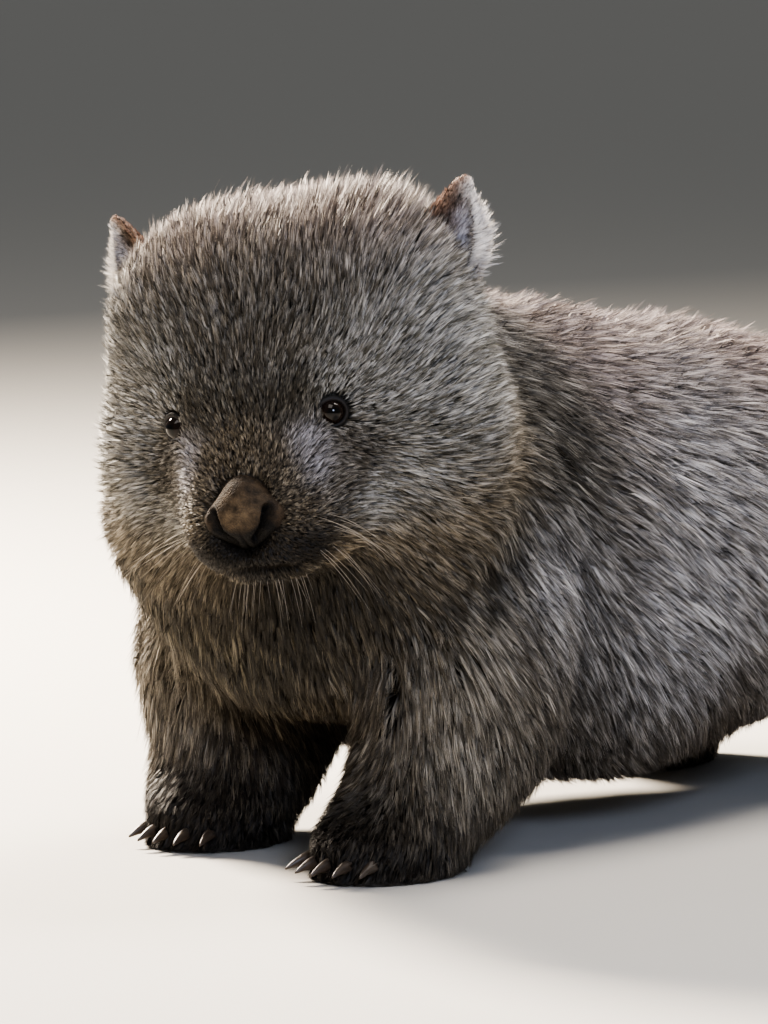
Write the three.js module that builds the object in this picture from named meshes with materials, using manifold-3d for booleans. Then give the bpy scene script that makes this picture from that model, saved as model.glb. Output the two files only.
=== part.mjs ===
// Common wombat, standing, life size, as a still museum model.
// Millimetres, +Z up, nose towards -Y, the animal's left side towards +X.
// The outer surface is that of the coat's tips, and each sub-part is one closed solid.
import * as THREE from 'three';
import { mergeVertices } from 'three/addons/utils/BufferGeometryUtils.js';
import Module from 'manifold-3d';

const wasm = await Module();
wasm.setup();

// Driving dimensions of the animal, with its coat.
const SHOULDER_HEIGHT = 350;
const BACK_HEIGHT = 318;
const RUMP_HEIGHT = 292;
const BELLY_CLEARANCE = 28;
const CHEST_CLEARANCE = 76;
const TRUNK_WIDTH = 274;
const SHOULDER_WIDTH = 262;
const RUMP_WIDTH = 262;
const FORE_STANCE = 161;
const HIND_STANCE = 176;
const FORE_PLACE = 9;
const FORE_STEP = 17;
const HIND_PLACE = 500;
const HIND_STEP = 24;
const SEAM = 0.3;

// The head: where the point midway between the eyes is, and how the head is turned.
const EYE_MIDPOINT = new THREE.Vector3(70, -110, 279);
const HEAD_YAW = 22;
const HEAD_PITCH = 12;
const HEAD_ROLL = -7.5;
const EYE_SPREAD = 47;
const EYE_RADIUS = 8.2;
const EYE_SINK = 5.5;
const EYE_RISE = 3;
const HEAD_WIDTH = 232;
const CROWN_RISE = 113;
const NOSE_PROUD = 5;
const NOSE_DROP = 40;
const EAR_SPREAD = 102;
const EAR_SETBACK = 102;
const EAR_RISE = 84;
const EAR_LENGTH = 52;
const EAR_WIDTH = 40;
const EAR_THICKNESS = 17;

// How softly one mass runs into the next, and how finely the surfaces are divided.
const BLEND = 11;
const TRUNK_SIDES = 33;
const TRUNK_ROWS = 39;
const LEG_SIDES = 13;
const LEG_ROWS = 11;

const deg = THREE.MathUtils.degToRad;

function turned(yaw, pitch, roll) {
  const euler = new THREE.Euler(deg(pitch), deg(roll), deg(yaw), 'ZXY');
  return new THREE.Quaternion().setFromEuler(euler);
}

const HEAD_TURN = turned(HEAD_YAW, HEAD_PITCH, HEAD_ROLL);

// A point of the head: to its left, back and up from the point between the eyes.
function onHead(left, back, up) {
  return new THREE.Vector3(left, back, up).applyQuaternion(HEAD_TURN).add(EYE_MIDPOINT);
}

// One rounded mass of the body. The distance to it is negative inside.
function mass(centre, radii, turn = new THREE.Quaternion()) {
  return { centre, radii: new THREE.Vector3(...radii), back: turn.clone().invert() };
}

function headMass(left, back, up, radii) {
  return mass(onHead(left, back, up), radii, HEAD_TURN);
}

function massDistance(item, point) {
  const local = point.clone().sub(item.centre).applyQuaternion(item.back).divide(item.radii);
  const reach = local.length();
  const slope = local.divide(item.radii).length();
  return slope > 0 ? (reach * (reach - 1)) / slope : -item.radii.x;
}

// The masses together, run softly into one another.
function distanceTo(masses, point, blend = BLEND) {
  let sum = 0;
  for (const item of masses) {
    sum += Math.exp(-massDistance(item, point) / blend);
  }
  return -blend * Math.log(sum);
}

// Where a ray from inside first leaves the masses, moved out by an offset.
function rayEnd(masses, from, direction, offset, farthest) {
  const step = 3;
  let reach = 0;
  const point = new THREE.Vector3();
  const at = (length) => point.copy(from).addScaledVector(direction, length);
  while (reach < farthest && distanceTo(masses, at(reach)) < offset) {
    reach += step;
  }
  let low = Math.max(reach - step, 0);
  let high = reach;
  for (let i = 0; i < 14; i += 1) {
    const middle = (low + high) / 2;
    if (distanceTo(masses, at(middle)) < offset) {
      low = middle;
    } else {
      high = middle;
    }
  }
  return at(Math.min(low, farthest)).clone();
}

// The head's masses, in the head's own directions.
function headMasses() {
  const half = HEAD_WIDTH / 2;
  const items = [
    headMass(0, 74, CROWN_RISE - 87, [half - 9, 86, 84]),
    headMass(0, 106, CROWN_RISE - 82, [half - 18, 66, 76]),
    headMass(0, 10, 4, [34, 46, 38]),
    headMass(0, -13, -42, [34, 41, 32]),
    headMass(0, 8, -24, [50, 44, 33]),
    headMass(0, 0, -60, [41, 48, 26]),
    headMass(0, 46, -46, [84, 58, 44]),
  ];
  for (const side of [-1, 1]) {
    items.push(headMass(side * 68, 60, -28, [half - 59, 58, 54]));
    items.push(headMass(side * 62, 66, -62, [half - 65, 54, 42]));
    items.push(headMass(side * 34, 14, 28, [20, 20, 15]));
    items.push(headMass(side * 18, -30, -54, [23, 28, 21]));
    items.push(headMass(side * 58, 80, 50, [46, 52, 46]));
  }
  return items;
}

// The neck and trunk, from the throat to the rump.
function trunkMasses() {
  const shoulderRise = (SHOULDER_HEIGHT - CHEST_CLEARANCE) / 2;
  const backRise = (BACK_HEIGHT - BELLY_CLEARANCE) / 2;
  const rumpRise = (RUMP_HEIGHT - BELLY_CLEARANCE) / 2;
  const neckTurn = turned(HEAD_YAW / 2, -14, 0);
  return [
    mass(new THREE.Vector3(22, 20, 262), [104, 100, 92], neckTurn),
    mass(new THREE.Vector3(10, 56, 240), [116, 96, 106], neckTurn),
    mass(new THREE.Vector3(19, -18, 204), [126, 70, 68], turned(18, 0, 0)),
    mass(
      new THREE.Vector3(0, 92, CHEST_CLEARANCE + shoulderRise),
      [SHOULDER_WIDTH / 2 - 4, 132, shoulderRise - 5],
    ),
    mass(new THREE.Vector3(0, 14, 168), [108, 76, 84]),
    mass(
      new THREE.Vector3(0, 200, BELLY_CLEARANCE + backRise + 12),
      [TRUNK_WIDTH / 2 - 8, 150, backRise - 2],
    ),
    mass(
      new THREE.Vector3(0, 330, BELLY_CLEARANCE + backRise),
      [TRUNK_WIDTH / 2 - 5, 170, backRise - 7],
    ),
    ...[-1, 1].map((side) => mass(new THREE.Vector3(side * 58, 226, 118), [76, 160, 88])),
    mass(
      new THREE.Vector3(0, 480, BELLY_CLEARANCE + rumpRise + 4),
      [RUMP_WIDTH / 2 - 4, 142, rumpRise - 8],
    ),
    mass(new THREE.Vector3(0, 556, 166), [112, 98, 106]),
  ];
}

// The stations of the long loft: centre, then yaw and lean back of its ring.
const STATIONS = [
  { centre: onHead(0, -18, -26), yaw: HEAD_YAW, lean: -HEAD_PITCH, roll: HEAD_ROLL, row: 9 },
  { centre: onHead(0, 14, -14), yaw: HEAD_YAW, lean: -2, roll: HEAD_ROLL, row: 13 },
  { centre: onHead(0, 62, 4), yaw: HEAD_YAW - 2, lean: 18, roll: HEAD_ROLL, row: 18 },
  { centre: new THREE.Vector3(26, -2, 270), yaw: 16, lean: 34, roll: -2, row: 21 },
  { centre: new THREE.Vector3(4, 66, 226), yaw: 6, lean: 28, roll: 0, row: 24 },
  { centre: new THREE.Vector3(0, 150, 200), yaw: 0, lean: 8, roll: 0, row: 27 },
  { centre: new THREE.Vector3(0, 300, 184), yaw: 0, lean: 0, roll: 0, row: 30 },
  { centre: new THREE.Vector3(0, 520, 172), yaw: 0, lean: 0, roll: 0, row: 33 },
];

const FIRST_ROW = STATIONS[0].row;
const LAST_ROW = STATIONS[STATIONS.length - 1].row;

function stationAt(row) {
  let next = STATIONS.findIndex((item) => item.row >= row);
  next = Math.max(next, 1);
  const [a, b] = [STATIONS[next - 1], STATIONS[next]];
  const share = (row - a.row) / (b.row - a.row);
  const before = STATIONS[Math.max(next - 2, 0)];
  const after = STATIONS[Math.min(next + 1, STATIONS.length - 1)];
  const smooth = (p, q, r, s) => {
    const start = ((r - p) * (b.row - a.row)) / (b.row - before.row);
    const finish = ((s - q) * (b.row - a.row)) / (after.row - a.row);
    const t2 = share * share;
    const t3 = t2 * share;
    return (
      (2 * t3 - 3 * t2 + 1) * q + (t3 - 2 * t2 + share) * start
      + (3 * t2 - 2 * t3) * r + (t3 - t2) * finish
    );
  };
  const value = (get) => smooth(get(before), get(a), get(b), get(after));
  const centre = new THREE.Vector3(
    value((item) => item.centre.x),
    value((item) => item.centre.y),
    value((item) => item.centre.z),
  );
  const turn = turned(value((s) => s.yaw), -value((s) => s.lean), value((s) => s.roll));
  return { centre, turn };
}

// A sphere whose rows follow the stations and whose corners move out to the masses.
function trunkLoft(masses, offset) {
  const sphere = new THREE.SphereGeometry(1, TRUNK_SIDES, TRUNK_ROWS);
  const place = sphere.attributes.position;
  const across = TRUNK_SIDES + 1;
  for (let row = 0; row <= TRUNK_ROWS; row += 1) {
    const inner = THREE.MathUtils.clamp(row, FIRST_ROW, LAST_ROW);
    const { centre, turn } = stationAt(inner);
    let tip = 0;
    if (row < FIRST_ROW) {
      tip = -(Math.PI / 2) * (1 - row / FIRST_ROW);
    } else if (row > LAST_ROW) {
      tip = (Math.PI / 2) * ((row - LAST_ROW) / (TRUNK_ROWS - LAST_ROW));
    }
    const polar = row === 0 || row === TRUNK_ROWS;
    for (let column = 0; column < across; column += 1) {
      const angle = (2 * Math.PI * (column % TRUNK_SIDES)) / TRUNK_SIDES;
      const radial = polar ? 0 : Math.cos(tip);
      const ray = new THREE.Vector3(
        Math.cos(angle) * radial,
        Math.sin(tip),
        Math.sin(angle) * radial,
      ).applyQuaternion(turn);
      const end = rayEnd(masses, centre, ray.normalize(), offset, 420);
      place.setXYZ(row * across + column, end.x, end.y, end.z);
    }
  }
  return sphere;
}

// A leg: its masses, and the line from inside the trunk down to the sole.
function legLoft(masses, line, offset) {
  const sphere = new THREE.SphereGeometry(1, LEG_SIDES, LEG_ROWS);
  const place = sphere.attributes.position;
  const across = LEG_SIDES + 1;
  const fan = 4;
  for (let row = 0; row <= LEG_ROWS; row += 1) {
    const sole = row === LEG_ROWS;
    const share = THREE.MathUtils.clamp((row - fan) / (LEG_ROWS - 1 - fan), 0, 1);
    const centre = line.getPoint(share);
    const tip = row < fan ? (Math.PI / 2) * (1 - row / fan) : 0;
    if (row >= LEG_ROWS - 1) {
      centre.z = 0;
    }
    for (let column = 0; column < across; column += 1) {
      const angle = (2 * Math.PI * (column % LEG_SIDES)) / LEG_SIDES;
      const radial = row === 0 ? 0 : Math.cos(tip);
      const ray = new THREE.Vector3(
        Math.cos(angle) * radial,
        Math.sin(angle) * radial,
        Math.sin(tip),
      );
      const end = sole ? centre.clone() : rayEnd(masses, centre, ray.normalize(), offset, 170);
      if (row >= LEG_ROWS - 1) {
        end.z = -offset;
      }
      place.setXYZ(row * across + column, end.x, end.y, end.z);
    }
  }
  return sphere;
}

function foreleg(side) {
  const x = (side * FORE_STANCE) / 2;
  const ahead = FORE_PLACE - side * FORE_STEP;
  const masses = [
    mass(new THREE.Vector3(x, 56, 176), [54, 76, 86], turned(0, 6, -side * 5)),
    mass(new THREE.Vector3(x * 1.12, 50, 124), [52, 78, 66], turned(0, 16, 0)),
    mass(new THREE.Vector3(x * 1.08, 56 + ahead * 0.3, 72), [47, 70, 51], turned(0, 10, 0)),
    mass(new THREE.Vector3(x * 1.02, 24 + ahead * 0.8, 42), [40, 46, 38]),
    mass(new THREE.Vector3(x, ahead - 12, 14), [39, 48, 28], turned(side * -6, 0, 0)),
  ];
  const line = new THREE.CatmullRomCurve3([
    new THREE.Vector3(x, 60, 196),
    new THREE.Vector3(x * 1.08, 52, 130),
    new THREE.Vector3(x * 1.04, 34 + ahead * 0.4, 80),
    new THREE.Vector3(x * 1.01, 4 + ahead * 0.9, 36),
    new THREE.Vector3(x, ahead - 8, 0),
  ]);
  return { masses, line };
}

function hindleg(side) {
  const x = (side * HIND_STANCE) / 2;
  const place = HIND_PLACE + side * HIND_STEP;
  const masses = [
    mass(new THREE.Vector3(x * 0.9, place - 4, 146), [60, 96, 96], turned(0, 8, -side * 5)),
    mass(new THREE.Vector3(x * 1.04, place - 26, 96), [50, 72, 62]),
    mass(new THREE.Vector3(x * 1.06, place + 4, 54), [42, 60, 46], turned(0, -12, 0)),
    mass(new THREE.Vector3(x * 1.06, place - 14, 14), [38, 62, 26], turned(side * -8, 0, 0)),
  ];
  const line = new THREE.CatmullRomCurve3([
    new THREE.Vector3(x * 0.82, place - 10, 170),
    new THREE.Vector3(x * 0.92, place - 16, 120),
    new THREE.Vector3(x, place - 4, 70),
    new THREE.Vector3(x * 1.02, place - 4, 30),
    new THREE.Vector3(x * 1.04, place - 10, 0),
  ]);
  return { masses, line };
}

// Three.js geometry to a manifold solid and back.
function toSolid(geometry) {
  const bare = new THREE.BufferGeometry();
  bare.setAttribute('position', geometry.attributes.position.clone());
  bare.setIndex(geometry.index.clone());
  const merged = mergeVertices(bare, 1e-3);
  const mesh = new wasm.Mesh({
    numProp: 3,
    vertProperties: new Float32Array(merged.attributes.position.array),
    triVerts: new Uint32Array(merged.index.array),
  });
  mesh.merge();
  return new wasm.Manifold(mesh);
}

function toGeometry(solid) {
  const mesh = solid.simplify(0.08).getMesh();
  const geometry = new THREE.BufferGeometry();
  geometry.setAttribute('position', new THREE.BufferAttribute(mesh.vertProperties, 3));
  geometry.setIndex(new THREE.BufferAttribute(mesh.triVerts, 1));
  geometry.computeVertexNormals();
  return geometry;
}

// A thin wide sheet that parts a solid in two, square to its own Y direction.
function sheet(centre, turn, width, height) {
  const box = new THREE.BoxGeometry(width, SEAM, height);
  box.applyQuaternion(turn);
  box.translate(centre.x, centre.y, centre.z);
  return toSolid(box);
}

function centreOf(solid) {
  const box = solid.boundingBox();
  return new THREE.Vector3(
    (box.min[0] + box.max[0]) / 2,
    (box.min[1] + box.max[1]) / 2,
    (box.min[2] + box.max[2]) / 2,
  );
}

// The largest bodies of a cut solid, in the order of a measure along the animal.
function partsOf(solid, count, measure) {
  const bodies = solid.decompose();
  bodies.sort((a, b) => b.volume() - a.volume());
  const kept = bodies.slice(0, count);
  kept.sort((a, b) => measure(centreOf(a)) - measure(centreOf(b)));
  return kept;
}

// An egg of given radii, at a place and turn, as a solid.
function egg(centre, radii, turn, sides = 16, rows = 12) {
  const shape = new THREE.SphereGeometry(1, sides, rows);
  shape.scale(...radii);
  shape.applyQuaternion(turn);
  shape.translate(centre.x, centre.y, centre.z);
  return toSolid(shape);
}

// The point of the face straight ahead of a place to the left of and above the eyes' middle.
function faceAt(left, up) {
  const ahead = new THREE.Vector3(0, -1, 0).applyQuaternion(HEAD_TURN);
  const from = onHead(left, 40, up);
  const reach = rayEnd(headMasses(), from, ahead, 0, 200).distanceTo(from);
  return { left, back: 40 - reach, up };
}

// The naked nose pad: a rounded shield with a wing round each nostril.
function nosePad(grow) {
  const front = faceAt(0, -NOSE_DROP).back - NOSE_PROUD;
  const pad = egg(
    onHead(0, front + 12, -NOSE_DROP + 1),
    [19 + grow, 12 + grow, 23.5 + grow],
    HEAD_TURN,
    14,
    10,
  );
  const wings = [-1, 1].map((side) => {
    const turn = HEAD_TURN.clone().multiply(turned(side * 28, 0, side * 22));
    const centre = onHead(side * 13.5, front + 14.5, -NOSE_DROP - 8);
    return egg(centre, [11 + grow, 12 + grow, 12 + grow], turn, 10, 7);
  });
  return pad.add(wings[0]).add(wings[1]);
}

function nostril(side) {
  const turn = HEAD_TURN.clone().multiply(turned(side * 34, 0, side * 42));
  const front = faceAt(0, -NOSE_DROP).back - NOSE_PROUD;
  const centre = onHead(side * 14.5, front + 5, -NOSE_DROP - 10);
  return egg(centre, [3, 9, 6], turn, 8, 6);
}

// A short pricked ear, narrowing to a blunt tip and hollow in front.
function ear(side) {
  const turn = HEAD_TURN.clone().multiply(turned(side * 30, -6, side * 22));
  const place = onHead(side * (EAR_SPREAD - 5), EAR_SETBACK, EAR_RISE - 12);
  const cup = (radii, shift, sides, rows) => {
    const shape = new THREE.SphereGeometry(1, sides, rows);
    shape.rotateX(Math.PI / 2);
    const spot = shape.attributes.position;
    for (let i = 0; i < spot.count; i += 1) {
      const up = spot.getZ(i);
      const narrow = 1 - 0.52 * THREE.MathUtils.smoothstep(up, -0.4, 1);
      spot.setX(i, spot.getX(i) * narrow);
      spot.setY(i, spot.getY(i) * narrow);
    }
    shape.scale(...radii);
    shape.translate(0, shift, 0);
    shape.applyQuaternion(turn);
    shape.translate(place.x, place.y, place.z);
    return toSolid(shape);
  };
  const outer = cup([EAR_WIDTH / 2, EAR_THICKNESS / 2, EAR_LENGTH * 0.64], 0, 12, 10);
  const hollow = cup([EAR_WIDTH / 2 - 4.5, EAR_THICKNESS / 2, EAR_LENGTH * 0.58], -6.5, 10, 8);
  return outer.subtract(hollow);
}

// A curved claw from its root towards the floor ahead of the toe.
function claw(root, length, radius, yaw) {
  const shape = new THREE.ConeGeometry(radius, length, 6, 2);
  shape.rotateX(Math.PI);
  shape.scale(0.92, 1, 1.1);
  const spot = shape.attributes.position;
  for (let i = 0; i < spot.count; i += 1) {
    const along = 0.5 - spot.getY(i) / length;
    const drop = 0.34 * length * along * along;
    spot.setZ(i, spot.getZ(i) - drop);
  }
  shape.rotateZ(deg(yaw));
  shape.translate(root.x, root.y, root.z);
  return toSolid(shape);
}

const fur = {
  back: ['#5a5049', 0.95],
  head: ['#564c46', 0.95],
  belly: ['#4a4038', 0.95],
  leg: ['#5d4c3b', 0.95],
  foot: ['#2a241f', 0.9],
};

const group = new THREE.Group();
group.name = 'common_wombat';

function show(name, solid, colour, roughness) {
  const material = new THREE.MeshStandardMaterial({ color: colour, roughness, metalness: 0 });
  material.name = name;
  const mesh = new THREE.Mesh(toGeometry(solid), material);
  mesh.name = name;
  group.add(mesh);
}

// The legs are made first, and the trunk is hollowed to take them.
const legs = [];
for (const [end, make] of [['fore', foreleg], ['hind', hindleg]]) {
  for (const [sideName, side] of [['left', 1], ['right', -1]]) {
    const { masses, line } = make(side);
    const solid = toSolid(legLoft(masses, line, 0));
    const room = toSolid(legLoft(masses, line, SEAM));
    legs.push({ end, sideName, side, solid, room });
  }
}

const skinMasses = [...headMasses(), ...trunkMasses()];
let whole = toSolid(trunkLoft(skinMasses, 0));
const wholeRoom = toSolid(trunkLoft(skinMasses, SEAM));
for (const leg of legs) {
  whole = whole.subtract(leg.room);
}

// The head leaves the neck along a slant from the nape to the throat.
const cuts = [
  sheet(new THREE.Vector3(30, -8, 280), turned(HEAD_YAW - 4, -33, 0), 520, 420),
  sheet(new THREE.Vector3(8, 40, 240), turned(10, -41, 0), 520, 460),
  sheet(new THREE.Vector3(0, 176, 190), turned(0, -4, 0), 520, 520),
  sheet(new THREE.Vector3(0, 392, 190), turned(0, 4, 0), 520, 520),
];
for (const cut of cuts) {
  whole = whole.subtract(cut);
}
const trunkParts = partsOf(whole, 5, (centre) => centre.y - centre.z * 0.3);
const [headSolid, neckSolid, chestSolid, bellySolid, rumpSolid] = trunkParts;

const pad = nosePad(0).subtract(nostril(-1)).subtract(nostril(1));
let head = headSolid.subtract(nosePad(SEAM));
for (const [sideName, side] of [['left', 1], ['right', -1]]) {
  const centre = onHead(
    side * EYE_SPREAD,
    faceAt(side * EYE_SPREAD, EYE_RISE).back + EYE_SINK,
    EYE_RISE,
  );
  head = head.subtract(egg(centre, Array(3).fill(EYE_RADIUS + SEAM), HEAD_TURN, 12, 8));
  show(`eye_${sideName}`, egg(centre, Array(3).fill(EYE_RADIUS), HEAD_TURN, 12, 8), '#15100c', 0.1);
  show(`ear_${sideName}`, ear(side).subtract(wholeRoom), '#6d5648', 0.9);
}
show('head', head, ...fur.head);
show('nose_pad', pad, '#4c382d', 0.55);
show('neck', neckSolid, ...fur.back);
show('chest', chestSolid, ...fur.back);
show('belly', bellySolid, ...fur.belly);
show('rump', rumpSolid, ...fur.back);

const tail = egg(new THREE.Vector3(0, 654, 150), [13, 17, 15], turned(0, 0, 0), 10, 7);
show('tail', tail.subtract(wholeRoom), ...fur.belly);

// Each leg is parted below the elbow or knee and at the wrist or ankle.
const CLAWS = {
  fore: { count: 5, length: 26, radius: 5.4, spread: 13.5, reach: 50, height: 13 },
  hind: { count: 4, length: 24, radius: 5, spread: 14, reach: 66, height: 12 },
};
for (const { end, sideName, side, solid, room } of legs) {
  const fore = end === 'fore';
  const upperCut = fore ? 98 : 92;
  const lowerCut = fore ? 42 : 38;
  const lies = turned(0, 90, 0);
  const placeY = centreOf(solid).y;
  const parted = solid
    .subtract(sheet(new THREE.Vector3(side * 90, placeY, upperCut), lies, 400, 500))
    .subtract(sheet(new THREE.Vector3(side * 90, placeY, lowerCut), lies, 400, 500));
  const [foot, lower, upper] = partsOf(parted, 3, (centre) => centre.z);
  const name = `${end}leg_${sideName}`;
  show(`${name}_upper`, upper, ...fur.leg);
  show(`${name}_lower`, lower, ...fur.leg);
  show(`${end}foot_${sideName}`, foot, ...fur.foot);
  const stance = fore ? FORE_STANCE * 0.485 : HIND_STANCE * 0.52;
  const step = fore ? FORE_PLACE - side * FORE_STEP - 12 : HIND_PLACE + side * HIND_STEP - 14;
  const { count, length, radius, spread, reach, height } = CLAWS[end];
  for (let i = 0; i < count; i += 1) {
    const rank = i - (count - 1) / 2;
    const back = 2.6 * rank * rank;
    const yaw = rank * 7 + side * (fore ? -4 : -6);
    const root = new THREE.Vector3(
      side * stance + rank * spread,
      step - reach + back,
      height,
    );
    const nail = claw(root, length, radius, yaw).subtract(room);
    const [visible] = partsOf(nail, 1, (centre) => centre.y);
    show(`${end}claw_${sideName}_${i + 1}`, visible, '#3a322b', 0.45);
  }
}

// The origin is the middle of the underside of the whole animal.
const extent = new THREE.Box3().setFromObject(group);
const middle = extent.getCenter(new THREE.Vector3());
group.position.set(-middle.x, -middle.y, -extent.min.z);
group.updateMatrixWorld(true);

export default group;
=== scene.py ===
import math

import bpy
import numpy as np
from mathutils import Matrix, Vector, kdtree


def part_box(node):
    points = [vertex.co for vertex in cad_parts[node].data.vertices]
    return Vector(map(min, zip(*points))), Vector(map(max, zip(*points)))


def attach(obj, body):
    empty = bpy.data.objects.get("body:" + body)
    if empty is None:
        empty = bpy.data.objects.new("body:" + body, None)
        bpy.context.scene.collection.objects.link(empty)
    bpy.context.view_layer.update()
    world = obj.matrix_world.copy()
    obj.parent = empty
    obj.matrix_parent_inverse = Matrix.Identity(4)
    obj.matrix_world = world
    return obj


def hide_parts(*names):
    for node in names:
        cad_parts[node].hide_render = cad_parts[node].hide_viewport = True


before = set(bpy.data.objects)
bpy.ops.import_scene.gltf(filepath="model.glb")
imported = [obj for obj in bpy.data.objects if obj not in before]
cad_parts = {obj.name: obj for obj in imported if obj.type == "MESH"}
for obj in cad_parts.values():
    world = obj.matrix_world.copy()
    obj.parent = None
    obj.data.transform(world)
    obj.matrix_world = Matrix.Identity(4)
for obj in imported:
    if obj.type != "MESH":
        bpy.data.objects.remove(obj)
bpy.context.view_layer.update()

MM = 0.001

# The head's own frame: the point midway between the eyes, and how the head is turned, in degrees.
EYES_MIDDLE = np.array((0.05734, -0.36147, 0.2790))
HEAD_YAW = 22
HEAD_PITCH = 12
HEAD_ROLL = -7.5
turn = Matrix.Rotation(math.radians(HEAD_YAW), 3, "Z")
turn = turn @ Matrix.Rotation(math.radians(HEAD_PITCH), 3, "X")
turn = turn @ Matrix.Rotation(math.radians(HEAD_ROLL), 3, "Y")
HEAD_TURN = np.array(turn)


def on_head(spot):
    """A spot of the head's own frame, in mm, as a place in the model."""
    return EYES_MIDDLE + HEAD_TURN @ (np.array(spot, float) * MM)


def head_way(way):
    """A direction of the head's own frame, as a direction in the model."""
    return HEAD_TURN @ np.array(way, float)


def in_head(points):
    """Places in the model, in mm of the head's own frame."""
    return (points - EYES_MIDDLE) @ HEAD_TURN / MM


def seen_from(azimuth, elevation):
    """The direction from the model to a place around it, from two angles in degrees."""
    a = math.radians(azimuth)
    e = math.radians(elevation)
    return Vector((math.sin(a) * math.cos(e), -math.cos(a) * math.cos(e), math.sin(e)))


# Camera

AZIMUTH = 40
ELEVATION = 6
DISTANCE = 4.0
# The picture's size in pixels, the real size of one at the head, and where the point between the eyes lies.
WIDTH = 768
HEIGHT = 1024
PIXEL = 0.58 * MM
EYES_ACROSS = 263
EYES_DOWN = 418
SENSOR = 36
back = seen_from(AZIMUTH, ELEVATION)
right = seen_from(AZIMUTH + 90, 0)
up = back.cross(right)
target = Vector(EYES_MIDDLE) + right * (WIDTH / 2 - EYES_ACROSS) * PIXEL
target -= up * (HEIGHT / 2 - EYES_DOWN) * PIXEL
bpy.ops.object.camera_add()
camera = bpy.context.object
camera.name = "camera"
turned = Matrix((right, up, back)).transposed().to_4x4()
camera.matrix_world = Matrix.Translation(target + back * DISTANCE) @ turned
camera.data.sensor_fit = "VERTICAL"
camera.data.sensor_height = SENSOR
camera.data.lens = SENSOR * DISTANCE / (HEIGHT * PIXEL)
camera.data.clip_end = 100
bpy.context.scene.camera = camera


# Colours and material nodes

def linear(code):
    """An sRGB hex colour as linear red, green, blue and full alpha."""
    parts = [int(code[i:i + 2], 16) / 255 for i in (1, 3, 5)]
    return tuple(c / 12.92 if c <= 0.04045 else ((c + 0.055) / 1.055) ** 2.4 for c in parts) + (1.0,)


def node(tree, kind, settings=None, links=None):
    """Adds a node, sets its properties and sockets, and links other nodes' outputs to its sockets."""
    made = tree.nodes.new(kind)
    for key, value in (settings or {}).items():
        if isinstance(key, str) and hasattr(made, key):
            setattr(made, key, value)
        else:
            made.inputs[key].default_value = value
    for key, (source, out) in (links or {}).items():
        tree.links.new(source.outputs[out], made.inputs[key])
    return made


def mixed(tree, share, low, high):
    """A mix of two colours, each a hex code or a node's output, by the share another output gives."""
    settings = {"data_type": "RGBA"}
    links = {0: share}
    for key, colour in ((6, low), (7, high)):
        if isinstance(colour, str):
            settings[key] = linear(colour)
        else:
            links[key] = colour
    return node(tree, "ShaderNodeMix", settings, links)


def smooth_ramp(tree, source, start, end):
    """Rises smoothly from 0 to 1 as an output goes from start to end."""
    settings = {"interpolation_type": "SMOOTHSTEP", 1: start, 2: end}
    return node(tree, "ShaderNodeMapRange", settings, {0: source})


def painted(tree, name):
    """A value or colour stored on the mesh's vertices."""
    return node(tree, "ShaderNodeAttribute", {"attribute_name": name})


def pattern(tree, kind, settings, place=None):
    """A texture laid in the object's own coordinates, or at another node's output."""
    place = place or (node(tree, "ShaderNodeTexCoord"), 3)
    return node(tree, "ShaderNodeTex" + kind, settings, {"Vector": place})


def bumpy(tree, strength, distance, height):
    """The shading normal, roughened by a node's first output."""
    return node(tree, "ShaderNodeBump", {"Strength": strength, "Distance": distance}, {"Height": (height, 0)})


def scaled(tree, colour, share):
    """A node's colour made lighter or darker by another output."""
    return node(tree, "ShaderNodeVectorMath", {"operation": "SCALE"}, {0: colour, "Scale": share})


def new_material(name):
    """An empty node material and its tree."""
    made = bpy.data.materials.new(name)
    made.use_nodes = True
    made.node_tree.nodes.clear()
    return made, made.node_tree


def finish_material(tree, settings, links):
    """Ends a tree with a Principled shader and its output."""
    shader = node(tree, "ShaderNodeBsdfPrincipled", settings, links)
    node(tree, "ShaderNodeOutputMaterial", {}, {"Surface": (shader, 0)})


# Stage and light

def select_only(*objects):
    """Selects just these objects and makes the first one active."""
    bpy.ops.object.select_all(action="DESELECT")
    for item in objects:
        item.select_set(True)
    bpy.context.view_layer.objects.active = objects[0]


bpy.ops.object.select_all(action="DESELECT")
bpy.ops.mesh.primitive_plane_add(size=60)
floor = bpy.context.object
floor.name = "floor"
paper, tree = new_material("matt pale paper floor")
grain = node(tree, "ShaderNodeTexNoise", {"Scale": 3.0, "Detail": 2.0})
tint = mixed(tree, (grain, 0), "#a6a39d", "#aeaba5")
finish_material(tree, {"Roughness": 0.9}, {"Base Color": (tint, 2)})
floor.data.materials.append(paper)

world = bpy.data.worlds.new("studio")
world.use_nodes = True
world.node_tree.nodes["Background"].inputs[0].default_value = linear("#dcdfe2")
world.node_tree.nodes["Background"].inputs[1].default_value = 0.36
bpy.context.scene.world = world
bpy.context.scene.view_settings.look = "AgX - Medium High Contrast"


def soft_box(name, azimuth, elevation, distance, size, watts, colour):
    """A square area light that looks at the fore part of the body."""
    way = seen_from(azimuth, elevation)
    centre = Vector((0.0, -0.15, 0.22))
    bpy.ops.object.light_add(type="AREA", location=centre + way * distance)
    light = bpy.context.object
    light.name = name
    light.rotation_euler = way.to_track_quat("Z", "Y").to_euler()
    light.data.size = size
    light.data.energy = watts
    light.data.color = linear(colour)[:3]


soft_box("key", 20, 58, 2.6, 1.4, 30, "#fff8f0")
soft_box("rim", -98, 38, 2.6, 0.7, 620, "#fff0de")
soft_box("back", 165, 62, 2.6, 1.4, 120, "#fff6ee")
soft_box("sky", 56, 22, 2.6, 0.62, 38, "#d2e0ff")


# The coat's tones

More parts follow.
